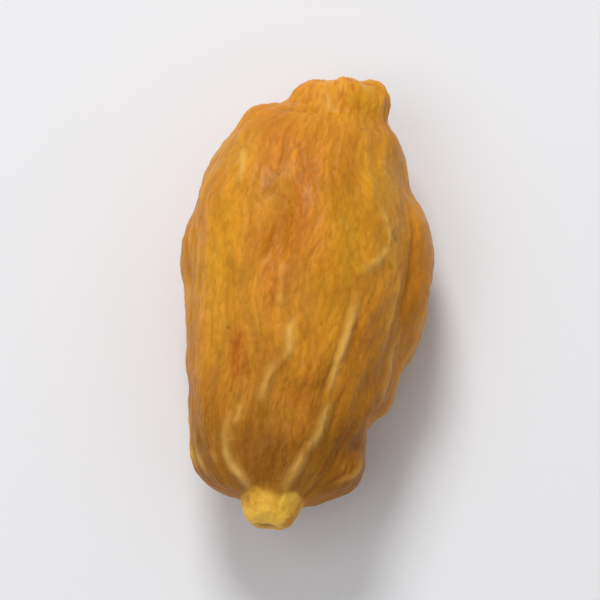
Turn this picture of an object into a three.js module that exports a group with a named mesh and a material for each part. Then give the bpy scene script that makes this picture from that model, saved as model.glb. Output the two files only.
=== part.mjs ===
// One dried hog plum, lying on the flat spot that it rests on.
//
// Millimetres. +Z is up, +Y runs along the fruit from the stem nub to the crown, and +X is to
// the right when the fruit is looked down on with its crown away from the viewer.
// The origin is the middle of the footprint, on the surface that the fruit rests on.
//
// The fruit grew as one piece, so it is one closed skin. Its shape is a distance field: a
// trunk whose width and height change along the fruit, lobes that swell out of it, hollows
// where the drying flesh sank in, and a slight waviness. Where two lobes meet, a short blend
// leaves the soft crease that a shrivelled fruit has.

import * as THREE from 'three';
import { mergeVertices } from 'three/addons/utils/BufferGeometryUtils.js';

// Size of the whole fruit as it lies.
const LENGTH = 37.5;
const WIDTH = 20.4;
const THICKNESS = 16.8;

// Fineness of the skin: an icosahedron with each edge split into SPLITS + 1 parts.
const SPLITS = 15;

// Skin colour and finish: amber brown, dry and slightly waxy.
const SKIN_COLOUR = '#c4802f';
const SKIN_ROUGHNESS = 0.5;

// Trunk. It runs from TRUNK_START to TRUNK_END along the fruit, and its ends are rounded by a
// superellipse of power END_SQUARENESS. The four lists give its cross-section every
// STATION_STEP, from FIRST_STATION on: where the middle lies, and the half width and half
// height before the ends are rounded.
const TRUNK_START = 2.3;
const TRUNK_END = 34.4;
const END_SQUARENESS = 4;
const SECTION_SQUARENESS = 2.15;
const FIRST_STATION = 2;
const STATION_STEP = 4;
const MIDDLE_X = [-1.0, -0.9, -0.8, -0.8, -0.95, -1.2, -1.35, -1.35, -0.9];
const HALF_WIDTH = [6.7, 7.1, 7.7, 8.3, 8.8, 9.15, 9.05, 8.45, 8.5];
const MIDDLE_Z = [0.8, 0.45, 0.15, 0, 0, 0, -0.1, -0.2, 0];
const HALF_HEIGHT = [5.0, 6.1, 7.2, 7.9, 8.4, 8.6, 8.4, 7.6, 6.6];

// The five seed chambers show as faint ribs along the trunk, and a slower three-sided swell
// winds round it.
const CHAMBERS = 5;
const CHAMBER_RIB = 0.022;
const CHAMBER_TURN = 0.6;
const SWELL_SIDES = 3;
const SWELL = 0.012;
const SWELL_WIND = 0.17;

// Ellipsoids that swell out of the trunk. lean turns one about +Z, in degrees, clockwise as
// seen from above, and squareness above 2 makes it boxier.
const LOBES = [
  { name: 'right cheek', at: [5.6, 21.5, -1.4], radii: [3.9, 7.6, 4.8], squareness: 2.6, lean: -2 },
  { name: 'lower cheek', at: [4.3, 14.6, -1.2], radii: [3.7, 5.6, 4.6], squareness: 2.2, lean: -6 },
  { name: 'left cheek', at: [-7.4, 22.2, -0.8], radii: [3.2, 4.4, 4.6], squareness: 2.1, lean: 4 },
  { name: 'left shoulder', at: [-4.7, 31.6, 0.5], radii: [2.8, 2.3, 3.2], squareness: 3.0, lean: 0 },
  { name: 'crown', at: [-0.1, 33.2, 0.2], radii: [4.0, 3.3, 3.4], squareness: 3.2, lean: 0 },
  { name: 'right haunch', at: [3.5, 6.0, 0.7], radii: [2.9, 2.2, 3.2], squareness: 2.2, lean: 8 },
  { name: 'left haunch', at: [-4.3, 6.1, 0.7], radii: [2.6, 3.0, 3.5], squareness: 2.2, lean: -6 },
  { name: 'stem nub', at: [-0.35, 2.25, 1.6], radii: [2.2, 2.25, 2.4], squareness: 2.5, lean: 0 },
];

// Knobs in a ring round the small pit of the crown. Each entry is a knob's rise towards the
// tip: the one on the right stands highest, and the ones on the left are the lowest.
const KNOB_RISES = [0.5, 0.05, -0.25, -0.1, 0.2];
const KNOB_RING = { x: 0.1, y: 34.9, z: 0.2, radius: 2.3, firstAngle: 12 };
const KNOB_RADII = [1.8, 2.1, 1.8];

// Ellipsoids that are pressed into the skin.
const HOLLOWS = [
  { name: 'right waist', at: [8.0, 8.9, 1.0], radii: [2.0, 1.6, 4.2], lean: 22 },
  { name: 'between the ridges', at: [-0.9, 8.6, 9.1], radii: [2.7, 4.6, 2.9], lean: 0 },
  { name: 'left valley', at: [-6.2, 8.2, 7.4], radii: [1.5, 5.5, 2.2], lean: -6 },
  { name: 'right valley', at: [3.9, 8.2, 8.2], radii: [1.6, 5.0, 2.4], lean: -14 },
  { name: 'middle hollow', at: [-3.2, 24.0, 10.2], radii: [1.9, 6.5, 2.3], lean: 4 },
  { name: 'upper right hollow', at: [3.4, 27.0, 9.7], radii: [2.2, 6.0, 2.5], lean: -10 },
  { name: 'crown pit', at: [0.0, 37.4, 0.2], radii: [0.9, 1.1, 0.9], lean: 0 },
  { name: 'back hollow', at: [2.5, 24.0, -11.0], radii: [2.2, 8.0, 3.2], lean: -8 },
  { name: 'back fold', at: [-4.6, 13.0, -9.2], radii: [1.6, 7.0, 2.9], lean: 8 },
  { name: 'left fold', at: [-11.2, 14.5, -2.0], radii: [2.3, 7.0, 1.6], lean: 0 },
];

// How softly lobes and hollows join the skin, and how softly the flat spot's rim is turned.
const CREASE_BLEND = 0.9;
const RIM_BLEND = 0.25;

// Height of the flat spot under the fruit, measured from the trunk's middle.
const FLAT_SPOT_Z = -7.95;

// The skin is found along straight lines that leave a spine inside the fruit.
const SPINE_MIDDLE = new THREE.Vector3(-0.6, 18.4, 0);
const SPINE_HALF = 9.5;
const REACH = 30;
const HALVINGS = 40;

function smoothMin(a, b, blend) {
  const overlap = Math.max(blend - Math.abs(a - b), 0) / blend;
  return Math.min(a, b) - overlap * overlap * blend / 4;
}

function smoothMax(a, b, blend) {
  return -smoothMin(-a, -b, blend);
}

// Value at y of a list given at the stations, on a Catmull-Rom curve through its entries.
function atStation(list, y) {
  const last = list.length - 1;
  const s = THREE.MathUtils.clamp((y - FIRST_STATION) / STATION_STEP, 0, last);
  const i = Math.min(Math.floor(s), last - 1);
  const t = s - i;
  const before = list[Math.max(i - 1, 0)];
  const from = list[i];
  const to = list[i + 1];
  const after = list[Math.min(i + 2, last)];
  const square = (2 * before - 5 * from + 4 * to - after) * t * t;
  const cube = (3 * from - before - 3 * to + after) * t * t * t;
  return (2 * from + (to - before) * t + square + cube) / 2;
}

// Rough distance from a point to an ellipsoid's surface, negative inside it.
function lobeDistance(point, { at, radii, squareness = 2, lean = 0 }) {
  const offset = new THREE.Vector3(...at).negate().add(point);
  offset.applyAxisAngle(new THREE.Vector3(0, 0, 1), THREE.MathUtils.degToRad(lean));
  const q = offset.toArray().map((value, axis) => Math.abs(value) / radii[axis]);
  const sum = q.reduce((total, value) => total + value ** squareness, 1e-12);
  const size = sum ** (1 / squareness);
  const slope = Math.hypot(...q.map((value, axis) => (value / size) ** (squareness - 1) / radii[axis]));
  return (size - 1) / Math.max(slope, 1e-6);
}

// Rough distance from a point to the trunk's surface, negative inside it.
function trunkDistance(point) {
  const across = point.x - atStation(MIDDLE_X, point.y);
  const up = point.z - atStation(MIDDLE_Z, point.y);
  const angle = Math.atan2(up, across);
  const ribs = CHAMBER_RIB * Math.cos(CHAMBERS * angle + CHAMBER_TURN);
  const swell = SWELL * Math.cos(SWELL_SIDES * angle - SWELL_WIND * point.y);
  const halfWidth = atStation(HALF_WIDTH, point.y) * (1 + ribs + swell);
  const halfHeight = atStation(HALF_HEIGHT, point.y) * (1 + ribs + swell);
  const halfLength = (TRUNK_END - TRUNK_START) / 2;
  const middle = (TRUNK_END + TRUNK_START) / 2;
  const qx = Math.abs(across) / halfWidth;
  const qy = Math.abs(point.y - middle) / halfLength;
  const qz = Math.abs(up) / halfHeight;
  const round = (qx ** SECTION_SQUARENESS + qz ** SECTION_SQUARENESS + 1e-12) ** (1 / SECTION_SQUARENESS);
  const size = (round ** END_SQUARENESS + qy ** END_SQUARENESS) ** (1 / END_SQUARENESS);
  const roundShare = (round / size) ** (END_SQUARENESS - 1);
  const slope = Math.hypot(
    roundShare * (qx / round) ** (SECTION_SQUARENESS - 1) / halfWidth,
    roundShare * (qz / round) ** (SECTION_SQUARENESS - 1) / halfHeight,
    (qy / size) ** (END_SQUARENESS - 1) / halfLength,
  );
  return (size - 1) / Math.max(slope, 1e-6);
}

// Long slow waves and shorter ones over the whole skin.
function waviness({ x, y, z }) {
  const long = 0.16 * Math.sin(0.55 * x + 0.31 * y + 1.0) * Math.sin(0.6 * z + 0.24 * y + 0.4);
  const short = 0.08 * Math.sin(1.3 * x - 0.5 * y) * Math.sin(1.1 * z + 0.62 * y + 2.0);
  return long + short;
}

function crownKnobs() {
  return KNOB_RISES.map((rise, i) => {
    const angle = THREE.MathUtils.degToRad(KNOB_RING.firstAngle + i * 360 / KNOB_RISES.length);
    const x = KNOB_RING.x + KNOB_RING.radius * Math.cos(angle);
    const z = KNOB_RING.z + KNOB_RING.radius * Math.sin(angle);
    return { name: `crown knob ${i}`, at: [x, KNOB_RING.y + rise, z], radii: KNOB_RADII };
  });
}

const SWELLINGS = [...LOBES, ...crownKnobs()];

// Rough distance from a point to the fruit's skin, negative inside it.
function fruitDistance(point) {
  let distance = trunkDistance(point);
  for (const lobe of SWELLINGS) {
    distance = smoothMin(distance, lobeDistance(point, lobe), CREASE_BLEND);
  }
  for (const hollow of HOLLOWS) {
    distance = smoothMax(distance, -lobeDistance(point, hollow), CREASE_BLEND);
  }
  distance += waviness(point);
  return smoothMax(distance, FLAT_SPOT_Z - point.z, RIM_BLEND);
}

// Point of the skin that is met when leaving the spine in a direction.
function skinPoint(direction) {
  const start = SPINE_MIDDLE.clone();
  start.y += SPINE_HALF * direction.y;
  let inside = 0;
  let outside = REACH;
  for (let i = 0; i < HALVINGS; i += 1) {
    const middle = (inside + outside) / 2;
    if (fruitDistance(start.clone().addScaledVector(direction, middle)) < 0) {
      inside = middle;
    } else {
      outside = middle;
    }
  }
  const point = start.addScaledVector(direction, inside);
  const isOnFlatSpot = point.z < FLAT_SPOT_Z + 0.001;
  if (isOnFlatSpot) {
    point.z = FLAT_SPOT_Z;
  }
  return point;
}

// Scales a geometry to the fruit's size and stands it on the origin.
function fitToSize(geometry) {
  geometry.computeBoundingBox();
  const { min, max } = geometry.boundingBox;
  geometry.translate(-(min.x + max.x) / 2, -(min.y + max.y) / 2, -min.z);
  geometry.scale(WIDTH / (max.x - min.x), LENGTH / (max.y - min.y), THICKNESS / (max.z - min.z));
}

function fruitGeometry() {
  const sphere = new THREE.IcosahedronGeometry(1, SPLITS);
  sphere.deleteAttribute('normal');
  sphere.deleteAttribute('uv');
  const geometry = mergeVertices(sphere, 1e-4);
  const position = geometry.attributes.position;
  const direction = new THREE.Vector3();
  for (let i = 0; i < position.count; i += 1) {
    direction.fromBufferAttribute(position, i).normalize();
    position.setXYZ(i, ...skinPoint(direction).toArray());
  }
  fitToSize(geometry);
  geometry.computeVertexNormals();
  return geometry;
}

const skin = new THREE.MeshStandardMaterial({
  color: SKIN_COLOUR,
  roughness: SKIN_ROUGHNESS,
  metalness: 0,
});

const hogPlum = new THREE.Mesh(fruitGeometry(), skin);
hogPlum.name = 'hog_plum';

const fruit = new THREE.Group();
fruit.add(hogPlum);

export default fruit;
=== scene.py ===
"""Looks of one dried hog plum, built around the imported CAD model.

The fruit is one sculpted skin. It follows the CAD solid's own recipe (a trunk, lobes that swell out of it
and hollows pressed into it), which is worked out here on a much finer mesh and fitted to the CAD node's box.
Ridges, folds and fibres are then raised and sunk in it, and the same strokes steer the colours.

Shape recipe, strokes and stains are in millimetres: x to the right and y up the fruit from the stem end, as
seen from above. Everything in the scene itself is in metres, in the CAD frame.
"""

import math
from collections import namedtuple

import bpy
import numpy as np
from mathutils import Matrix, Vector


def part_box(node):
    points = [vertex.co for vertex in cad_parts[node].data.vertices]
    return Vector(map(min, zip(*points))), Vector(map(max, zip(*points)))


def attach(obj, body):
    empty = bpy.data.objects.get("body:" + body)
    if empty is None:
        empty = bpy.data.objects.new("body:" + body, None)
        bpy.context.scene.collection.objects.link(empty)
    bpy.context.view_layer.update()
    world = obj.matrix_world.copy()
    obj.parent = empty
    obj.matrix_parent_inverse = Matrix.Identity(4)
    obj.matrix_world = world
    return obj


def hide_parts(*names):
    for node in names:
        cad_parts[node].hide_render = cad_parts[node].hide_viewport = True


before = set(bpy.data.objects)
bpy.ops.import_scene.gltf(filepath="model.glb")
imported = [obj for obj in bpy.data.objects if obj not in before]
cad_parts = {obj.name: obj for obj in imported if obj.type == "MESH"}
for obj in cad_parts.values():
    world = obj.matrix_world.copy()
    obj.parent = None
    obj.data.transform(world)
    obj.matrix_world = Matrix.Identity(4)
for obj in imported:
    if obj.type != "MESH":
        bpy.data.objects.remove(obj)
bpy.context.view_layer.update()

MM = 0.001
NODE = "hog_plum"
BOX_LOW, BOX_HIGH = (np.array(corner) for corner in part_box(NODE))
BOX_SIZE = BOX_HIGH - BOX_LOW
BOX_MIDDLE = (BOX_LOW + BOX_HIGH) / 2

# ------------------------------------------------------------------------------------------------
# Shape recipe, the same as the CAD solid's
# ------------------------------------------------------------------------------------------------

TRUNK_START, TRUNK_END = 2.3, 34.4
END_SQUARENESS = 4
SECTION_SQUARENESS = 2.15
FIRST_STATION, STATION_STEP = 2, 4
MIDDLE_X = (-1.0, -0.9, -0.8, -0.8, -0.95, -1.2, -1.35, -1.35, -0.9)
HALF_WIDTH = (6.7, 7.1, 7.7, 8.3, 8.8, 9.15, 9.05, 8.45, 8.5)
MIDDLE_Z = (0.8, 0.45, 0.15, 0, 0, 0, -0.1, -0.2, 0)
HALF_HEIGHT = (5.0, 6.1, 7.2, 7.9, 8.4, 8.6, 8.4, 7.6, 6.6)

CHAMBERS, CHAMBER_RIB, CHAMBER_TURN = 5, 0.022, 0.6
SWELL_SIDES, SWELL, SWELL_WIND = 3, 0.012, 0.17

# (middle, radii, squareness, lean in degrees)
LOBES = {
    "right_cheek": ((5.6, 21.5, -1.4), (3.9, 7.6, 4.8), 2.6, -2),
    "lower_cheek": ((4.3, 14.6, -1.2), (3.7, 5.6, 4.6), 2.2, -6),
    "left_cheek": ((-7.4, 22.2, -0.8), (3.2, 4.4, 4.6), 2.1, 4),
    "left_shoulder": ((-4.7, 31.6, 0.5), (2.8, 2.3, 3.2), 3.0, 0),
    "crown": ((-0.1, 33.2, 0.2), (4.0, 3.3, 3.4), 3.2, 0),
    "right_haunch": ((3.5, 6.0, 0.7), (2.9, 2.2, 3.2), 2.2, 8),
    "left_haunch": ((-4.3, 6.1, 0.7), (2.6, 3.0, 3.5), 2.2, -6),
    "stem_nub": ((-0.35, 2.25, 1.6), (2.2, 2.25, 2.4), 2.5, 0),
}
KNOB_RISES = (0.5, 0.05, -0.25, -0.1, 0.2)
KNOB_RING_MIDDLE = (0.1, 34.9, 0.2)
KNOB_RING_RADIUS, KNOB_FIRST_ANGLE = 2.3, 12
KNOB_RADII, KNOB_SQUARENESS = (1.8, 2.1, 1.8), 2
HOLLOWS = {
    "right_waist": ((8.0, 8.9, 1.0), (2.0, 1.6, 4.2), 2, 22),
    "between_the_ridges": ((-0.9, 8.6, 9.1), (2.7, 4.6, 2.9), 2, 0),
    "left_valley": ((-6.2, 8.2, 7.4), (1.5, 5.5, 2.2), 2, -6),
    "right_valley": ((3.9, 8.2, 8.2), (1.6, 5.0, 2.4), 2, -14),
    "middle_hollow": ((-3.2, 24.0, 10.2), (1.9, 6.5, 2.3), 2, 4),
    "upper_right_hollow": ((3.4, 27.0, 9.7), (2.2, 6.0, 2.5), 2, -10),
    "crown_pit": ((0.0, 37.4, 0.2), (0.9, 1.1, 0.9), 2, 0),
    "back_hollow": ((2.5, 24.0, -11.0), (2.2, 8.0, 3.2), 2, -8),
    "back_fold": ((-4.6, 13.0, -9.2), (1.6, 7.0, 2.9), 2, 8),
    "left_fold": ((-11.2, 14.5, -2.0), (2.3, 7.0, 1.6), 2, 0),
}
# (height, how fast the first sine runs along x and y and where it starts, and the second along z and y)
WAVES = (
    (0.16, (0.55, 0.31, 1.0), (0.6, 0.24, 0.4)),
    (0.08, (1.3, -0.5, 0.0), (1.1, 0.62, 2.0)),
)
CREASE_BLEND = 0.9
RIM_BLEND = 0.25
FLAT_SPOT_Z = -7.95

SPINE_MIDDLE = (-0.6, 18.4, 0.0)
SPINE_HALF = 9.5
REACH = 24.0
HALVINGS = 15

CELLS = 128  # along each edge of the six faces of the mesh

NOT_ZERO, LEAST_SLOPE = 1e-12, 1e-6


def smooth_min(a, b, blend):
    overlap = np.maximum(blend - np.abs(a - b), 0) / blend
    return np.minimum(a, b) - overlap * overlap * blend / 4


def smooth_max(a, b, blend):
    return -smooth_min(-a, -b, blend)


def between_points(before, start, end, after, t):
    """Place at t, from 0 to 1, on the stretch from start to end of a Catmull-Rom curve."""
    square = (2 * before - 5 * start + 4 * end - after) * t**2
    cube = (3 * start - before - 3 * end + after) * t**3
    return (2 * start + (end - before) * t + square + cube) / 2


def at_station(values, y):
    """Value at y of a list given at the stations."""
    values = np.array(values, float)
    last = len(values) - 1
    s = np.clip((y - FIRST_STATION) / STATION_STEP, 0, last)
    i = np.minimum(np.floor(s).astype(int), last - 1)
    before, after = values[np.maximum(i - 1, 0)], values[np.minimum(i + 2, last)]
    return between_points(before, values[i], values[i + 1], after, s - i)


def lobe_distance(x, y, z, middle, radii, squareness, lean):
    dx, dy, dz = x - middle[0], y - middle[1], z - middle[2]
    if lean:
        cosine, sine = math.cos(math.radians(lean)), math.sin(math.radians(lean))
        dx, dy = dx * cosine - dy * sine, dx * sine + dy * cosine
    q = [np.abs(d / r) for d, r in zip((dx, dy, dz), radii)]
    size = (sum(v**squareness for v in q) + NOT_ZERO) ** (1 / squareness)
    slope = np.sqrt(sum(((v / size) ** (squareness - 1) / r) ** 2 for v, r in zip(q, radii)))
    return (size - 1) / np.maximum(slope, LEAST_SLOPE)


def trunk_distance(x, y, z):
    across, up = x - at_station(MIDDLE_X, y), z - at_station(MIDDLE_Z, y)
    angle = np.arctan2(up, across)
    ribs = CHAMBER_RIB * np.cos(CHAMBERS * angle + CHAMBER_TURN)
    swell = SWELL * np.cos(SWELL_SIDES * angle - SWELL_WIND * y)
    half_width = at_station(HALF_WIDTH, y) * (1 + ribs + swell)
    half_height = at_station(HALF_HEIGHT, y) * (1 + ribs + swell)
    half_length, middle = (TRUNK_END - TRUNK_START) / 2, (TRUNK_END + TRUNK_START) / 2
    qx, qy, qz = np.abs(across) / half_width, np.abs(y - middle) / half_length, np.abs(up) / half_height
    power = SECTION_SQUARENESS
    section = (qx**power + qz**power + NOT_ZERO) ** (1 / power)
    size = (section**END_SQUARENESS + qy**END_SQUARENESS) ** (1 / END_SQUARENESS)
    share = (section / size) ** (END_SQUARENESS - 1)
    slope = np.sqrt(
        (share * (qx / section) ** (power - 1) / half_width) ** 2
        + (share * (qz / section) ** (power - 1) / half_height) ** 2
        + ((qy / size) ** (END_SQUARENESS - 1) / half_length) ** 2
    )
    return (size - 1) / np.maximum(slope, LEAST_SLOPE)


def waviness(x, y, z):
    total = 0.0
    for height, (along_x, along_y, start), (along_z, also_y, other_start) in WAVES:
        first = np.sin(along_x * x + along_y * y + start)
        total = total + height * first * np.sin(along_z * z + also_y * y + other_start)
    return total


def crown_knobs():
    x, y, z = KNOB_RING_MIDDLE
    for i, rise in enumerate(KNOB_RISES):
        angle = math.radians(KNOB_FIRST_ANGLE + i * 360 / len(KNOB_RISES))
        across, up = KNOB_RING_RADIUS * math.cos(angle), KNOB_RING_RADIUS * math.sin(angle)
        yield (x + across, y + rise, z + up), KNOB_RADII, KNOB_SQUARENESS, 0


SWELLINGS = [*LOBES.values(), *crown_knobs()]


def fruit_distance(x, y, z):
    """Rough distance from points to the skin, negative inside it."""
    distance = trunk_distance(x, y, z)
    for lobe in SWELLINGS:
        distance = smooth_min(distance, lobe_distance(x, y, z, *lobe), CREASE_BLEND)
    for hollow in HOLLOWS.values():
        distance = smooth_max(distance, -lobe_distance(x, y, z, *hollow), CREASE_BLEND)
    return smooth_max(distance + waviness(x, y, z), FLAT_SPOT_Z - z, RIM_BLEND)


def skin_along(starts, directions):
    """Points of the skin met by lines that leave points inside the fruit."""
    inside, outside = np.zeros(len(starts)), np.full(len(starts), REACH)
    for _ in range(HALVINGS):
        middle = (inside + outside) / 2
        within = fruit_distance(*(starts + directions * middle[:, None]).T) < 0
        inside, outside = np.where(within, middle, inside), np.where(within, outside, middle)
    return starts + directions * inside[:, None]

# ------------------------------------------------------------------------------------------------
# Noise
# ------------------------------------------------------------------------------------------------

NOISE_TABLE = 256
NOISE_GAIN = 1.5
OCTAVE_GAIN = 0.5


def gradient_noise(points, seed):
    """Perlin noise at points of any shape (..., 3), from about -1 to 1."""
    rng = np.random.default_rng(seed)
    shuffle = rng.permutation(NOISE_TABLE)
    gradients = rng.normal(size=(NOISE_TABLE, 3))
    gradients /= np.linalg.norm(gradients, axis=1, keepdims=True)
    cell = np.floor(points).astype(int)
    part = points - cell
    fade = part * part * part * (part * (part * 6 - 15) + 10)
    total = 0.0
    for corner in np.ndindex(2, 2, 2):
        pick = 0
        for axis in range(3):
            pick = shuffle[(pick + cell[..., axis] + corner[axis]) % NOISE_TABLE]
        weight = np.prod(np.where(corner, fade, 1 - fade), axis=-1)
        total = total + weight * np.sum(gradients[pick] * (part - corner), axis=-1)
    return total * NOISE_GAIN


def fractal_noise(points, seed, octaves):
    total, weight = 0.0, 1.0
    for octave in range(octaves):
        total = total + weight * gradient_noise(points * 2.0**octave, seed + octave)
        weight *= OCTAVE_GAIN
    return total


def smooth_step(low, high, value):
    """0 where the value is at low, 1 where it is at high, and a smooth rise between. low may be the larger."""
    t = np.clip((value - low) / (high - low), 0, 1)
    return t * t * (3 - 2 * t)

# ------------------------------------------------------------------------------------------------
# Fine mesh of the skin
# ------------------------------------------------------------------------------------------------

SAME_POINT_DIGITS = 6
FRUIT_LENGTH = 37.4
FIBRE_WANDER, WANDER_SCALE, WANDER_SEED = 0.22, 0.09, 3


def cube_sphere(cells):
    """Unit directions and quads of a sphere made of six square faces, with shared vertices."""
    line = np.tan(np.linspace(-math.pi / 4, math.pi / 4, cells + 1))
    a, b = np.meshgrid(line, line, indexing="ij")
    one = np.ones_like(a)
    sides = ((one, a, b), (-one, b, a), (b, one, a), (a, -one, b), (a, b, one), (b, a, -one))
    points = np.concatenate([np.stack(side, -1).reshape(-1, 3) for side in sides])
    points /= np.linalg.norm(points, axis=1, keepdims=True)
    corner = np.arange((cells + 1) ** 2).reshape(cells + 1, cells + 1)
    quad = np.stack([corner[:-1, :-1], corner[1:, :-1], corner[1:, 1:], corner[:-1, 1:]], -1).reshape(-1, 4)
    quads = np.concatenate([quad + side * len(corner) ** 2 for side in range(6)])
    rounded = np.round(points, SAME_POINT_DIGITS)
    _, first, shared = np.unique(rounded, axis=0, return_index=True, return_inverse=True)
    return points[first], shared.reshape(-1)[quads]


def vertex_normals(points, quads):
    across = points[quads[:, 2]] - points[quads[:, 0]]
    along = points[quads[:, 3]] - points[quads[:, 1]]
    face = np.cross(across, along)
    normals = np.zeros_like(points)
    for corner in range(4):
        np.add.at(normals, quads[:, corner], face)
    return normals / np.linalg.norm(normals, axis=1, keepdims=True)


directions, QUADS = cube_sphere(CELLS)
starts = np.array(SPINE_MIDDLE) + directions * (0, SPINE_HALF, 0)
SKIN = skin_along(starts, directions)
SKIN_LOW, SKIN_HIGH = SKIN.min(0), SKIN.max(0)
NORMALS = vertex_normals(SKIN, QUADS)
UP_FRUIT = SKIN[:, 1]
FROM_MIDDLE_X = SKIN[:, 0] - at_station(MIDDLE_X, UP_FRUIT)
FROM_MIDDLE_Z = SKIN[:, 2] - at_station(MIDDLE_Z, UP_FRUIT)
ROUND_FRUIT = np.arctan2(FROM_MIDDLE_X, FROM_MIDDLE_Z)
FIBRE_TURN = ROUND_FRUIT + FIBRE_WANDER * fractal_noise(SKIN * WANDER_SCALE, WANDER_SEED, 2)


def to_row(points):
    """Drawn millimetres to metres in the CAD frame: the skin's box goes onto the CAD node's box."""
    share = (points - SKIN_LOW) / (SKIN_HIGH - SKIN_LOW)
    return BOX_LOW + share * BOX_SIZE


def fibre_space(around, along):
    """Coordinates that run slowly along the fruit and fast round it, so noise in them looks like fibres.

    around is the number of noise cells round the fruit, and along the number of cells from end to end."""
    radius = around / (2 * math.pi)
    share = UP_FRUIT / FRUIT_LENGTH
    return np.stack([np.sin(FIBRE_TURN) * radius, np.cos(FIBRE_TURN) * radius, share * along], -1)

# ------------------------------------------------------------------------------------------------
# Strokes: ridges stand out of the skin, and grooves are sunk in it
# ------------------------------------------------------------------------------------------------

CURVE_STEPS = 6
END_FADE = 0.35  # share of a stroke's length over which each of its ends fades
STROKE_REACH = 3  # widths to each side beyond which a stroke is too faint to count
SHAKE_SEED, SHAKE_SEED_STEP = 200, 10


def smooth_line(points):
    """A Catmull-Rom curve through points, as a denser list."""
    points = np.array(points, float)
    padded = np.concatenate([[2 * points[0] - points[1]], points, [2 * points[-1] - points[-2]]])
    dense = []
    for i in range(1, len(padded) - 2):
        dense += [between_points(*padded[i - 1 : i + 3], t) for t in np.arange(CURVE_STEPS) / CURVE_STEPS]
    dense.append(padded[-2])
    return np.array(dense)


def seen_from_above(points):
    """Points (x, y) laid onto the upper skin."""
    line = smooth_line(points)
    middle = np.column_stack([line[:, 0], line[:, 1], np.zeros(len(line))])
    return skin_along(middle, np.tile((0.0, 0.0, 1.0), (len(line), 1)))


def seen_around(points):
    """Points (degrees round the fruit from its top towards +X, y) laid onto the skin."""
    line = smooth_line(points)
    turn = np.radians(line[:, 0])
    axis = np.column_stack([at_station(MIDDLE_X, line[:, 1]), line[:, 1], at_station(MIDDLE_Z, line[:, 1])])
    return skin_along(axis, np.column_stack([np.sin(turn), np.zeros(len(turn)), np.cos(turn)]))


# Strokes are drawn in a slightly shaken copy of the skin's points, so that no line runs quite smooth.
SHAKE_SIZES, SHAKES = (2.6, 0.9), (0.26, 0.12)
SHAKEN = SKIN.copy()
for i, (shake_size, shake) in enumerate(zip(SHAKE_SIZES, SHAKES)):
    for axis in range(3):
        seed = SHAKE_SEED + SHAKE_SEED_STEP * i + axis
        SHAKEN[:, axis] += shake * gradient_noise(SKIN / shake_size, seed)


def stroke_mask(line, width):
    """1 on a line that lies on the skin, falling to 0 within about twice the width and towards its ends."""
    reach = STROKE_REACH * width
    near = np.flatnonzero(np.all((SHAKEN > line.min(0) - reach) & (SHAKEN < line.max(0) + reach), axis=1))
    best, place = np.full(len(near), np.inf), np.zeros(len(near))
    for i in range(len(line) - 1):
        step = line[i + 1] - line[i]
        t = np.clip((SHAKEN[near] - line[i]) @ step / max(step @ step, NOT_ZERO), 0, 1)
        gap = np.linalg.norm(SHAKEN[near] - line[i] - t[:, None] * step, axis=1)
        nearer = gap < best
        best, place = np.where(nearer, gap, best), np.where(nearer, (i + t) / (len(line) - 1), place)
    ends = smooth_step(0, END_FADE, place) * smooth_step(0, END_FADE, 1 - place)
    mask = np.zeros(len(SKIN))
    mask[near] = np.exp(-((best / width) ** 2)) * ends
    return mask


# Ridges: (points, half width, height, paleness). The first set is seen from above.
# Paleness is partly the ridge's own paler fibre and partly a painted highlight on its crest.
RIDGES_ABOVE = {
    "left_rib": (
        ((-0.9, 1.7), (-2.2, 3.0), (-3.5, 4.0), (-4.4, 5.5), (-4.6, 7.1), (-4.4, 9.0)), 0.58, 0.42, 1.0,
    ),
    "left_rib_fork": (((-4.4, 7.0), (-3.9, 8.2), (-3.7, 9.3)), 0.35, 0.2, 0.6),
    "right_rib": (
        ((0.1, 1.7), (0.6, 3.3), (1.9, 6.2), (2.6, 8.0), (2.9, 9.8), (2.9, 11.0)), 0.55, 0.42, 0.8,
    ),
    "right_crest": (((2.8, 10.2), (2.95, 11.8), (3.3, 14.5), (3.7, 16.6), (3.85, 19.4)), 0.5, 0.42, 1.0),
    "fork_stem": (((-0.8, 16.4), (-0.9, 15.0), (-0.8, 13.6), (-1.3, 12.4)), 0.55, 0.32, 0.85),
    "fork_branch": (((-1.2, 13.4), (-1.8, 11.8), (-2.1, 10.2), (-2.5, 8.6)), 0.55, 0.3, 0.7),
    "hook": (
        ((3.4, 20.4), (4.4, 20.9), (5.3, 22.2), (5.65, 23.9), (5.1, 25.5), (4.4, 26.8)), 0.5, 0.4, 0.8,
    ),
    "left_rim": (((-7.3, 7.2), (-7.0, 5.6), (-6.3, 4.2), (-5.2, 3.1)), 0.5, 0.2, 0.7),
    "left_inner_rim": (((-5.5, 7.0), (-5.5, 5.4), (-4.7, 3.8)), 0.35, 0.2, 0.4),
    "haunch_rim": (((5.9, 7.6), (6.1, 6.7), (5.8, 5.4), (4.7, 4.4), (3.5, 3.7)), 0.42, 0.22, 0.6),
    "upper_left": (((-7.2, 29.4), (-6.7, 28.5), (-6.4, 27.2), (-6.5, 25.6)), 0.42, 0.28, 0.9),
    "middle_ridge": (((-2.5, 20.8), (-2.0, 18.4), (-1.7, 15.8)), 0.45, 0.22, 0.5),
    "crown_line": (((-1.1, 36.0), (-0.8, 34.6), (-0.7, 33.4)), 0.35, 0.15, 0.6),
}
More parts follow.
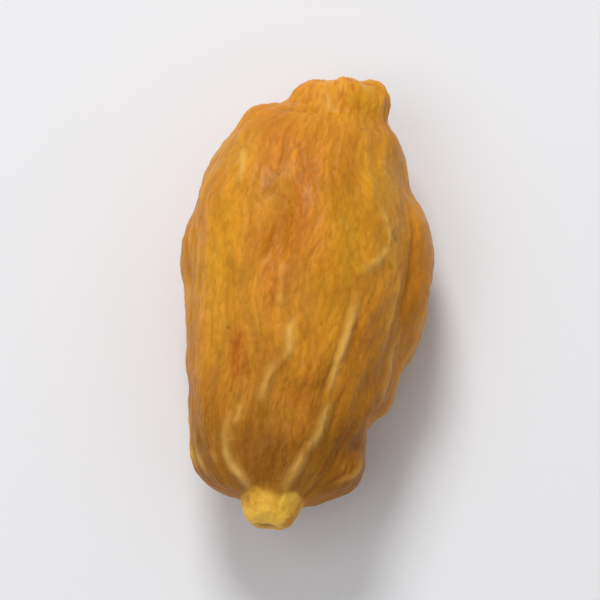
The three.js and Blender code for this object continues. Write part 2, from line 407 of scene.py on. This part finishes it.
# Grooves: (points, half width, depth, rustiness).
GROOVES_ABOVE = {
    "rust_band": (((-5.2, 16.0), (-4.9, 13.6), (-4.5, 11.4), (-4.1, 9.4)), 0.55, 0.12, 1.0),
    "rust_edge": (((-4.3, 13.6), (-3.8, 11.8), (-3.5, 10.4)), 0.28, 0.25, 0.7),
    "middle_blotch": (((-2.7, 24.2), (-3.0, 22.6), (-3.5, 21.0), (-4.0, 19.4)), 0.42, 0.2, 0.55),
    "middle_line": (((-2.9, 27.6), (-2.8, 25.1), (-2.6, 22.7), (-2.4, 20.0)), 0.3, 0.2, 0.6),
    "crown_crease": (((-5.2, 33.4), (-4.1, 33.4), (-2.4, 33.4), (-0.8, 34.0)), 0.32, 0.25, 0.4),
    "cheek_groove": (((6.8, 28.4), (7.6, 25.6), (7.9, 22.5), (7.75, 19.4), (7.5, 16.0)), 0.5, 0.3, 0.3),
    "under_right_crest": (((4.4, 17.6), (4.0, 14.6), (3.8, 12.2)), 0.4, 0.22, 0.3),
    "left_of_fork": (((-2.6, 15.6), (-2.9, 13.0), (-3.1, 10.6)), 0.5, 0.22, 0.2),
}

HIDDEN_SEED = 11
HIDDEN_STROKES = 46
VISIBLE_FAN = 62  # degrees to each side of the top that the strokes above already fill
HIDDEN_SPREAD = (0.1, 0.9)  # where a stroke starts within its own share of the girth
HIDDEN_LENGTH = (4.5, 11)
STEM_SHARE, STEM_STARTS = 0.5, (2.9, 12)
CROWN_FIRST_START, CROWN_LAST_END = 14, 33
HIDDEN_POINTS, HIDDEN_WANDER = 4, 3.2
HIDDEN_WIDTH, HIDDEN_SIZE = (0.35, 0.6), (0.15, 0.4)
RIDGE_SHARE = 0.6
HIDDEN_PALENESS, HIDDEN_RUSTINESS = (0.3, 0.95), (0.2, 1.0)


def hidden_strokes():
    """Ridges and grooves for the sides and the underside, in the same manner as those above."""
    rng = np.random.default_rng(HIDDEN_SEED)
    ridges, grooves = [], []
    for i in range(HIDDEN_STROKES):
        turn = VISIBLE_FAN + (360 - 2 * VISIBLE_FAN) * (i + rng.uniform(*HIDDEN_SPREAD)) / HIDDEN_STROKES
        length = rng.uniform(*HIDDEN_LENGTH)
        from_stem = rng.uniform() < STEM_SHARE
        starts = STEM_STARTS if from_stem else (CROWN_FIRST_START, CROWN_LAST_END - length)
        start = rng.uniform(*starts)
        wander = np.cumsum(rng.normal(0, HIDDEN_WANDER, HIDDEN_POINTS))
        line = [(turn + wander[k], start + length * k / (HIDDEN_POINTS - 1)) for k in range(HIDDEN_POINTS)]
        width, size = rng.uniform(*HIDDEN_WIDTH), rng.uniform(*HIDDEN_SIZE)
        if rng.uniform() < RIDGE_SHARE:
            ridges.append((line, width, size, rng.uniform(*HIDDEN_PALENESS)))
        else:
            grooves.append((line, width, size, rng.uniform(*HIDDEN_RUSTINESS)))
    return ridges, grooves


# A ridge is a narrow crest on a wide foot. Heights and widths are shares of the stroke's own.
CREST_HEIGHT, CREST_WIDTH = 0.4, 0.6
FOOT_HEIGHT, FOOT_WIDTH = 0.32, 2.2
PALE_WIDTH, RUST_WIDTH = 0.72, 1.3
UNEVEN_SIZE, UNEVEN_SEED = 1.7, 91
EVEN_HEIGHT, UNEVEN_HEIGHT = 0.85, 0.5
PALE_GAPS = (-0.85, 0.1)

hidden_ridges, hidden_grooves = hidden_strokes()
ridge_strokes = [(seen_from_above(s[0]), *s[1:]) for s in RIDGES_ABOVE.values()]
ridge_strokes += [(seen_around(s[0]), *s[1:]) for s in hidden_ridges]
groove_strokes = [(seen_from_above(s[0]), *s[1:]) for s in GROOVES_ABOVE.values()]
groove_strokes += [(seen_around(s[0]), *s[1:]) for s in hidden_grooves]

ridge_height, pale = np.zeros(len(SKIN)), np.zeros(len(SKIN))
for line, width, height, paleness in ridge_strokes:
    crest = CREST_HEIGHT * height * stroke_mask(line, CREST_WIDTH * width)
    ridge_height = np.maximum(ridge_height, crest)
    ridge_height += FOOT_HEIGHT * height * stroke_mask(line, FOOT_WIDTH * width)
    # pale crest: partly the ridge's own paler fibre, partly painted highlight
    pale = np.maximum(pale, paleness * stroke_mask(line, PALE_WIDTH * width))
unevenness = gradient_noise(SKIN / UNEVEN_SIZE, UNEVEN_SEED)
ridge_height *= EVEN_HEIGHT + UNEVEN_HEIGHT * unevenness
pale *= smooth_step(*PALE_GAPS, unevenness)

groove_depth, rust = np.zeros(len(SKIN)), np.zeros(len(SKIN))
for line, width, depth, rustiness in groove_strokes:
    groove_depth = np.maximum(groove_depth, depth * stroke_mask(line, width))
    rust = np.maximum(rust, rustiness * stroke_mask(line, RUST_WIDTH * width))

# ------------------------------------------------------------------------------------------------
# Folds, fibres and grain
# ------------------------------------------------------------------------------------------------

# A crease lies where its noise is near 0. scale is the noise cells round the fruit and from end to end, or the
# mm of one cell in the net. width and shade_width are the noise at which the crease and its painted shade end,
# level is what counts as the skin's own height, and plain and patchy are the strength, and what patches add to
# it.
Crease = namedtuple("Crease", "scale seed octaves depth width level plain patchy shade_width shade")
FOLDS = Crease((18, 3.2), 21, 2, 0.12, 0.5, 0.6, 0.5, 0.5, 0.42, 0.6)
WRINKLES = Crease((56, 6.0), 31, 2, 0.022, 0.45, 0.6, 1.2, -0.6, 0.3, 0.4)
CRINKLES = Crease((44, 17.0), 35, 3, 0.065, 0.35, 0.7, 0.35, 0.65, 0.22, 0.5)
NET = Crease((1.1, 1.9, 1.1), 37, 2, 0.05, 0.3, 0.75, 1, -0.6, 0.14, 0.4)

FIBRE_CELLS, FIBRE_SEED, FIBRE_DEPTH = (120, 26.0), 41, 0.018
DIMPLE_SIZE, DIMPLE_SEED, DIMPLE_DEPTH = 1.6, 51, 0.05
PATCH_SCALE, PATCH_SEED, PATCH_EDGE = 0.16, 61, (-0.5, 0.6)
GIRTH_TAPER, CROWN_TAPER = (0.5, 7.0), (37, 33)

NUB_EDGE, CROWN_EDGE = (0.5, 0.1), (32.4, 34.6)
PUCKERS = (((1.6, 0.8, 1.6), 95, 1.0), ((3.6, 1.9, 3.6), 96, 0.5))  # (cells to a mm, seed, share)
PUCKER_DEPTH = 0.13
NUB_SCAR, NUB_SCAR_EDGE, NUB_SCAR_DEPTH = (-0.3, 0.0, 1.8), (1.3, 0.4), 0.35

FLAT_SPOT_SLACK = 0.001


def fibre_creases(crease):
    return np.abs(fractal_noise(fibre_space(*crease.scale), crease.seed, crease.octaves))


def crease_relief(noise, crease):
    strength = crease.plain + crease.patchy * patchy
    return crease.depth * (smooth_step(0, crease.width, noise) - crease.level) * strength


# Painted shade: how much darker the colour is made in a crease, where shade would fall.
def crease_shade(noise, crease):
    return crease.shade * smooth_step(crease.shade_width, 0.0, noise)


folds = fibre_creases(FOLDS)
wrinkles = fibre_creases(WRINKLES)
crinkles = fibre_creases(CRINKLES)
net = np.abs(fractal_noise(SKIN / NET.scale, NET.seed, NET.octaves))
fibres = fractal_noise(fibre_space(*FIBRE_CELLS), FIBRE_SEED, 2)
dimples = fractal_noise(SKIN / DIMPLE_SIZE, DIMPLE_SEED, 2)
patchy = smooth_step(*PATCH_EDGE, fractal_noise(SKIN * PATCH_SCALE, PATCH_SEED, 2))
girth = np.hypot(FROM_MIDDLE_X, FROM_MIDDLE_Z)
taper = smooth_step(*GIRTH_TAPER, girth) * smooth_step(*CROWN_TAPER, UP_FRUIT)
on_nub = smooth_step(*NUB_EDGE, lobe_distance(*SHAKEN.T, *LOBES["stem_nub"]))
on_crown = smooth_step(*CROWN_EDGE, UP_FRUIT)
pucker = sum(share * gradient_noise(SKIN * scale, seed) for scale, seed, share in PUCKERS)
scar = smooth_step(*NUB_SCAR_EDGE, np.linalg.norm(SHAKEN - NUB_SCAR, axis=1))

relief = crease_relief(folds, FOLDS) * taper
relief += crease_relief(wrinkles, WRINKLES) * taper
relief += crease_relief(crinkles, CRINKLES) * taper
relief += crease_relief(net, NET)
relief += FIBRE_DEPTH * fibres * taper + DIMPLE_DEPTH * dimples
relief += PUCKER_DEPTH * np.maximum(on_nub, on_crown) * pucker
relief -= NUB_SCAR_DEPTH * scar
relief += ridge_height - groove_depth

skin_points = SKIN + NORMALS * relief[:, None]
flat_spot = SKIN[:, 2] <= FLAT_SPOT_Z + FLAT_SPOT_SLACK
skin_points[:, 2] = np.where(flat_spot, FLAT_SPOT_Z, np.maximum(skin_points[:, 2], FLAT_SPOT_Z))

# ------------------------------------------------------------------------------------------------
# Colour masks
# ------------------------------------------------------------------------------------------------

# (x, y, half width, half length, strength) as seen from above.
STAINS_AND_PAINTED_LIGHT = {
    "rust": ((-1.6, 26.5, 1.5, 5.0, 0.75), (-2.6, 19.5, 1.3, 3.0, 0.55), (1.8, 28.5, 1.0, 2.4, 0.4),
             (4.6, 16.0, 1.2, 3.0, 0.3), (-4.9, 12.5, 0.8, 3.0, 0.5), (1.0, 9.0, 1.0, 2.4, 0.35),
             (-4.2, 29.4, 1.6, 3.4, 0.8)),
    # The gold patches are lighter flesh, partly the fruit's own yellow and partly painted light.
    "gold": ((-7.4, 21.0, 1.6, 4.5, 0.8), (3.8, 28.5, 1.6, 3.2, 0.9), (-7.0, 28.0, 1.2, 3.0, 0.7),
             (1.5, 35.0, 2.4, 2.0, 0.8), (-0.5, 13.0, 1.6, 3.0, 0.4), (6.4, 23.0, 1.6, 4.0, 0.4),
             (2.6, 23.5, 1.9, 4.5, 0.9), (1.2, 18.0, 1.6, 3.0, 0.5)),
    # The shade patches are painted shade on the lower part and the right side, where less light falls.
    "shade": ((5.0, 7.0, 2.4, 3.4, 0.75), (6.6, 13.0, 1.8, 4.5, 0.6), (8.2, 19.5, 1.3, 5.0, 0.5),
              (-6.8, 5.8, 1.8, 3.2, 0.4), (-0.8, 6.0, 2.6, 2.6, 0.5)),
}
SIDE_LOW, SIDE_HIGH = -1, 2.5  # z between which the stains and painted light seen from above give way to the stains of the hidden skin
HIDDEN_RUST_CELLS, HIDDEN_RUST_SEED = (12, 2.5), 71
HIDDEN_GOLD_CELLS, HIDDEN_GOLD_SEED = (9, 2.0), 81
HIDDEN_STAIN_EDGE = (0.1, 0.9)
PUCKER_RUST, PUCKER_RUST_EDGE = 0.7, (0.1, -0.5)
STEM_SHADE = (16, 4)
DARKEST = 1.4
MATERIAL_CELLS = (2 * math.pi, 2.0)


def stain_and_painted_light_mask(stains):
    mask = np.zeros(len(SKIN))
    facing_up = smooth_step(SIDE_LOW, SIDE_HIGH, SKIN[:, 2])
    for x, y, half_width, half_length, strength in stains:
        gap = ((SKIN[:, 0] - x) / half_width) ** 2 + ((UP_FRUIT - y) / half_length) ** 2
        mask = np.maximum(mask, strength * np.exp(-gap) * facing_up)
    return mask


def hidden_stain(cells, seed):
    """Streaky stains on the sides and the underside."""
    stain = smooth_step(*HIDDEN_STAIN_EDGE, fractal_noise(fibre_space(*cells), seed, 3))
    return stain * smooth_step(SIDE_HIGH, SIDE_LOW, SKIN[:, 2])


hidden_rust = hidden_stain(HIDDEN_RUST_CELLS, HIDDEN_RUST_SEED)
hidden_gold = hidden_stain(HIDDEN_GOLD_CELLS, HIDDEN_GOLD_SEED)
# Painted shade in folds, creases and grooves: the colour is darkened where the skin is sunk.
valley = crease_shade(folds, FOLDS) + crease_shade(wrinkles, WRINKLES)
creases = crease_shade(crinkles, CRINKLES) * taper + crease_shade(net, NET)
crown_creases = PUCKER_RUST * on_crown * smooth_step(*PUCKER_RUST_EDGE, pucker)
# Painted shade: the skin is darkened towards the stem end and in the shade patches.
painted_shade = smooth_step(*STEM_SHADE, UP_FRUIT) + stain_and_painted_light_mask(STAINS_AND_PAINTED_LIGHT["shade"])
MASKS = {
    "pale": np.clip(pale, 0, 1),
    "rust": np.clip(np.maximum.reduce([rust, stain_and_painted_light_mask(STAINS_AND_PAINTED_LIGHT["rust"]), hidden_rust, crown_creases]), 0, 1),
    "gold": np.clip(np.maximum(stain_and_painted_light_mask(STAINS_AND_PAINTED_LIGHT["gold"]), hidden_gold), 0, 1),
    "dark": np.clip(painted_shade, 0, DARKEST) / DARKEST,
    "valley": np.clip(valley * taper + groove_depth + creases, 0, 1),
    "nub": on_nub,
    "scar": scar,
}


def skin_mesh(name, points, quads):
    mesh = bpy.data.meshes.new(name)
    mesh.from_pydata(points.tolist(), [], quads.tolist())
    mesh.polygons.foreach_set("use_smooth", np.ones(len(mesh.polygons), bool))
    for mask_name, values in MASKS.items():
        mask = mesh.attributes.new(mask_name, "FLOAT", "POINT")
        mask.data.foreach_set("value", values.astype(np.float32))
    fibre = mesh.attributes.new("fibre", "FLOAT_VECTOR", "POINT")
    fibre.data.foreach_set("vector", fibre_space(*MATERIAL_CELLS).astype(np.float32).ravel())
    mesh.update()
    return mesh


plum = bpy.data.objects.new("plum_skin", skin_mesh("plum_skin", to_row(skin_points), QUADS))
bpy.context.scene.collection.objects.link(plum)

# ------------------------------------------------------------------------------------------------
# Skin material
# ------------------------------------------------------------------------------------------------


def linear(red, green, blue):
    """An sRGB colour, 0 to 255, as the linear colour that a shader takes."""
    shares = (value / 255 for value in (red, green, blue))
    return (*(s / 12.92 if s <= 0.04045 else ((s + 0.055) / 1.055) ** 2.4 for s in shares), 1.0)


AMBER = linear(212, 137, 25)
HONEY = linear(222, 155, 40)
GOLD = linear(227, 164, 30)
RUST = linear(200, 104, 16)
BROWN = linear(142, 86, 8)
DEEP = linear(118, 68, 8)
CREAM = linear(226, 178, 88)
NUB_YELLOW = linear(250, 200, 78)
NUB_SHADE = linear(204, 144, 40)
SCAR_BROWN = linear(140, 92, 34)

# (coordinates, scale, detail, roughness)
SKIN_NOISES = {
    "streaks": ("fibre", 9.0, 4, 0.6),
    "threads": ("fibre", 34.0, 3, 0.65),
    "broad": ("fibre", 2.2, 3, 0.5),
    "mottle": ("place", 420.0, 4, 0.6),
    "cloud": ("place", 130.0, 3, 0.5),
    "specks": ("place", 900.0, 1, 0.4),
    "grain": ("place", 2600.0, 3, 0.6),
    "fine_fibres": ("fibre", 26.0, 3, 0.6),
}
GLOSSIEST, DULLEST = 0.34, 0.56
GRAIN_SHARE = 0.45
BUMP_STRENGTH, BUMP_DISTANCE = 0.5, 0.07 * MM
SKIN_SETTINGS = {
    "IOR": 1.45,
    "Specular IOR Level": 0.2,
    "Subsurface Weight": 0.45,
    "Subsurface Radius": (1.0, 0.42, 0.14),
    "Subsurface Scale": 1.2 * MM,
}


class Nodes:
    """Short ways to add and link shader nodes."""

    def __init__(self, material):
        material.use_nodes = True
        self.tree = material.node_tree
        self.tree.nodes.clear()

    def add(self, kind, **settings):
        node = self.tree.nodes.new(kind)
        for name, value in settings.items():
            setattr(node, name, value)
        return node

    def link(self, value, socket):
        if isinstance(value, bpy.types.NodeSocket):
            self.tree.links.new(value, socket)
        else:
            socket.default_value = value

    def attribute(self, name):
        return self.add("ShaderNodeAttribute", attribute_name=name)

    def math(self, operation, a, b):
        node = self.add("ShaderNodeMath", operation=operation)
        self.link(a, node.inputs[0])
        self.link(b, node.inputs[1])
        return node.outputs[0]

    def mix(self, share, a, b):
        node = self.add("ShaderNodeMix", data_type="RGBA")
        self.link(share, node.inputs["Factor"])
        self.link(a, node.inputs["A"])
        self.link(b, node.inputs["B"])
        return node.outputs["Result"]

    def lay(self, colour, top, where, strength):
        """The colour top laid on a colour, as strongly as where times strength."""
        return self.mix(self.math("MULTIPLY", where, strength), colour, top)

    def noise(self, vector, scale, detail, roughness):
        node = self.add("ShaderNodeTexNoise")
        self.link(vector, node.inputs["Vector"])
        node.inputs["Scale"].default_value = scale
        node.inputs["Detail"].default_value = detail
        node.inputs["Roughness"].default_value = roughness
        return node.outputs["Fac"]

    def between(self, value, low, high, to_low=0.0, to_high=1.0):
        """to_low where the value is at low or beyond it, to_high where it is at high, and a ramp between."""
        node = self.add("ShaderNodeMapRange", clamp=True)
        for socket, setting in zip(node.inputs[:5], (value, low, high, to_low, to_high)):
            self.link(setting, socket)
        return node.outputs["Result"]

    def finish(self, shader):
        output = self.add("ShaderNodeOutputMaterial")
        self.link(shader.outputs["BSDF"], output.inputs["Surface"])


def flesh_colour(n, noise, mask):
    """Amber flesh under layers of stain, painted shade, streak, thread, painted shade in the creases and pale
    crests partly painted as highlights, each laid on the ones before it.
    """
    streaks, threads, mottle = noise["streaks"], noise["threads"], noise["mottle"]
    colour = n.mix(n.between(noise["cloud"], 0.35, 0.7), AMBER, HONEY)
    colour = n.lay(colour, RUST, n.between(noise["broad"], 0.45, 0.75), 0.35)
    # gold: the patches seen from above are partly the fruit's own yellow and partly painted light
    colour = n.lay(colour, GOLD, mask["gold"], n.between(mottle, 0.2, 0.7, 0.5, 1.0))
    colour = n.lay(colour, RUST, mask["rust"], n.between(streaks, 0.3, 0.65, 0.35, 1.0))
    # painted shade: browner towards the stem end and in the shade patches
    colour = n.lay(colour, BROWN, mask["dark"], n.between(streaks, 0.3, 0.7, 0.75, 1.0))
    colour = n.lay(colour, DEEP, n.between(streaks, 0.5, 0.8), 0.22)
    colour = n.lay(colour, BROWN, n.between(threads, 0.5, 0.75), 0.3)
    colour = n.lay(colour, HONEY, n.between(threads, 0.5, 0.25), 0.3)
    # painted shade in the folds, creases and grooves
    colour = n.lay(colour, DEEP, mask["valley"], 0.28)
    # pale crests: partly the ridges' own paler fibre, partly painted highlight
    colour = n.lay(colour, CREAM, mask["pale"], n.between(mottle, 0.2, 0.7, 0.6, 1.0))
    return n.lay(colour, DEEP, n.between(noise["specks"], 0.73, 0.78), 0.35)


def nub_colour(n, noise):
    colour = n.mix(n.between(noise["mottle"], 0.42, 0.62), NUB_YELLOW, NUB_SHADE)
    return n.lay(colour, NUB_SHADE, n.between(noise["threads"], 0.45, 0.7), 0.4)


def skin_bump(n, noise):
    bump = n.add("ShaderNodeBump")
    bump.inputs["Strength"].default_value = BUMP_STRENGTH
    bump.inputs["Distance"].default_value = BUMP_DISTANCE
    grain = n.math("MULTIPLY", noise["grain"], GRAIN_SHARE)
    n.link(n.math("ADD", grain, noise["fine_fibres"]), bump.inputs["Height"])
    return bump.outputs["Normal"]


def skin_material():
    material = bpy.data.materials.new("dried_skin")
    n = Nodes(material)
    spaces = {
        "place": n.add("ShaderNodeTexCoord").outputs["Object"],
        "fibre": n.attribute("fibre").outputs["Vector"],
    }
    noise = {name: n.noise(spaces[space], *look) for name, (space, *look) in SKIN_NOISES.items()}
    mask = {name: n.attribute(name).outputs["Fac"] for name in MASKS}

    colour = n.mix(mask["nub"], flesh_colour(n, noise, mask), nub_colour(n, noise))
    colour = n.lay(colour, SCAR_BROWN, mask["scar"], 0.7)

    shader = n.add("ShaderNodeBsdfPrincipled")
    n.link(colour, shader.inputs["Base Color"])
    n.link(n.between(noise["mottle"], 0.3, 0.7, GLOSSIEST, DULLEST), shader.inputs["Roughness"])
    n.link(skin_bump(n, noise), shader.inputs["Normal"])
    for name, value in SKIN_SETTINGS.items():
        shader.inputs[name].default_value = value
    n.finish(shader)
    return material


plum.data.materials.append(skin_material())
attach(plum, "root")
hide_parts(NODE)

# ------------------------------------------------------------------------------------------------
# Floor, light and camera
# ------------------------------------------------------------------------------------------------

FLOOR_COLOUR, FLOOR_ROUGHNESS = (0.81, 0.81, 0.825, 1.0), 0.9
FLOOR_FLAT, FLOOR_BEND = 0.45, 0.6
FLOOR_SIDES, BEND_STEP = 96, 6
FLOOR_DROP = 0.00002  # keeps the floor just clear of the fruit's flat spot

KEY_LIGHT = {"place": (-0.13, 0.33, 0.40), "size": 0.2, "watts": 1.75}
FILL_LIGHT = {"place": (-0.20, -0.10, 0.50), "size": 0.40, "watts": 0.55}
WORLD_COLOUR, WORLD_STRENGTH = (0.93, 0.94, 0.96, 1), 0.45


def floor_mesh():
    """A round floor that turns up into a wall at its rim, so that no edge shows from any side."""
    bend = [math.radians(a) for a in range(BEND_STEP, 91, BEND_STEP)]
    profile = [(FLOOR_FLAT, 0.0)]
    profile += [(FLOOR_FLAT + FLOOR_BEND * math.sin(a), FLOOR_BEND * (1 - math.cos(a))) for a in bend]
    points, faces = [], []
    for radius, height in profile:
        for k in range(FLOOR_SIDES):
            turn = 2 * math.pi * k / FLOOR_SIDES
            points.append((radius * math.cos(turn), radius * math.sin(turn), height - FLOOR_DROP))
    for ring in range(len(profile) - 1):
        low, high = ring * FLOOR_SIDES, (ring + 1) * FLOOR_SIDES
        for k in range(FLOOR_SIDES):
            after = (k + 1) % FLOOR_SIDES
            faces.append((low + k, high + k, high + after, low + after))
    faces.append(tuple(range(FLOOR_SIDES)))
    mesh = bpy.data.meshes.new("studio_floor")
    mesh.from_pydata(points, [], faces)
    mesh.polygons.foreach_set("use_smooth", np.ones(len(mesh.polygons), bool))
    return mesh


def floor_material():
    material = bpy.data.materials.new("pale_floor")
    n = Nodes(material)
    shader = n.add("ShaderNodeBsdfPrincipled")
    shader.inputs["Base Color"].default_value = FLOOR_COLOUR
    shader.inputs["Roughness"].default_value = FLOOR_ROUGHNESS
    n.finish(shader)
    return material


def aim(thing, target):
    away = Vector(thing.location) - Vector(target)
    thing.rotation_euler = away.to_track_quat("Z", "Y").to_euler()


def area_light(name, place, size, watts):
    lamp = bpy.data.lights.new(name, "AREA")
    lamp.shape = "DISK"
    lamp.size = size
    lamp.energy = watts
    light = bpy.data.objects.new(name, lamp)
    light.location = place
    light.visible_camera = False
    bpy.context.scene.collection.objects.link(light)
    aim(light, BOX_MIDDLE)


floor = bpy.data.objects.new("studio_floor", floor_mesh())
floor.data.materials.append(floor_material())
bpy.context.scene.collection.objects.link(floor)

area_light("key_light", **KEY_LIGHT)
area_light("fill_light", **FILL_LIGHT)

world = bpy.data.worlds.new("studio")
world.use_nodes = True
world.node_tree.nodes["Background"].inputs["Color"].default_value = WORLD_COLOUR
world.node_tree.nodes["Background"].inputs["Strength"].default_value = WORLD_STRENGTH
bpy.context.scene.world = world

# The camera looks down on the fruit, a little from its stem end, and turned so that the crown leans right.
CAMERA_AZIMUTH, CAMERA_ELEVATION = 8.6, 79.0
LENS_MM, SENSOR_MM = 200.0, 36.0
CLIP_START, CLIP_END = 0.01, 10
FRUIT_SHARE_OF_FRAME = 0.78

azimuth, elevation = math.radians(CAMERA_AZIMUTH), math.radians(CAMERA_ELEVATION)
towards_camera = Vector((
    math.sin(azimuth) * math.cos(elevation),
    -math.cos(azimuth) * math.cos(elevation),
    math.sin(elevation),
))
view_height = BOX_SIZE[1] / FRUIT_SHARE_OF_FRAME
camera_data = bpy.data.cameras.new("camera")
camera_data.lens = LENS_MM
camera_data.sensor_width = SENSOR_MM
camera_data.clip_start, camera_data.clip_end = CLIP_START, CLIP_END
camera = bpy.data.objects.new("camera", camera_data)
camera.location = Vector(BOX_MIDDLE) + towards_camera * (view_height * LENS_MM / SENSOR_MM)
bpy.context.scene.collection.objects.link(camera)
aim(camera, BOX_MIDDLE)
bpy.context.scene.camera = camera
bpy.context.scene.view_settings.view_transform = "Standard"
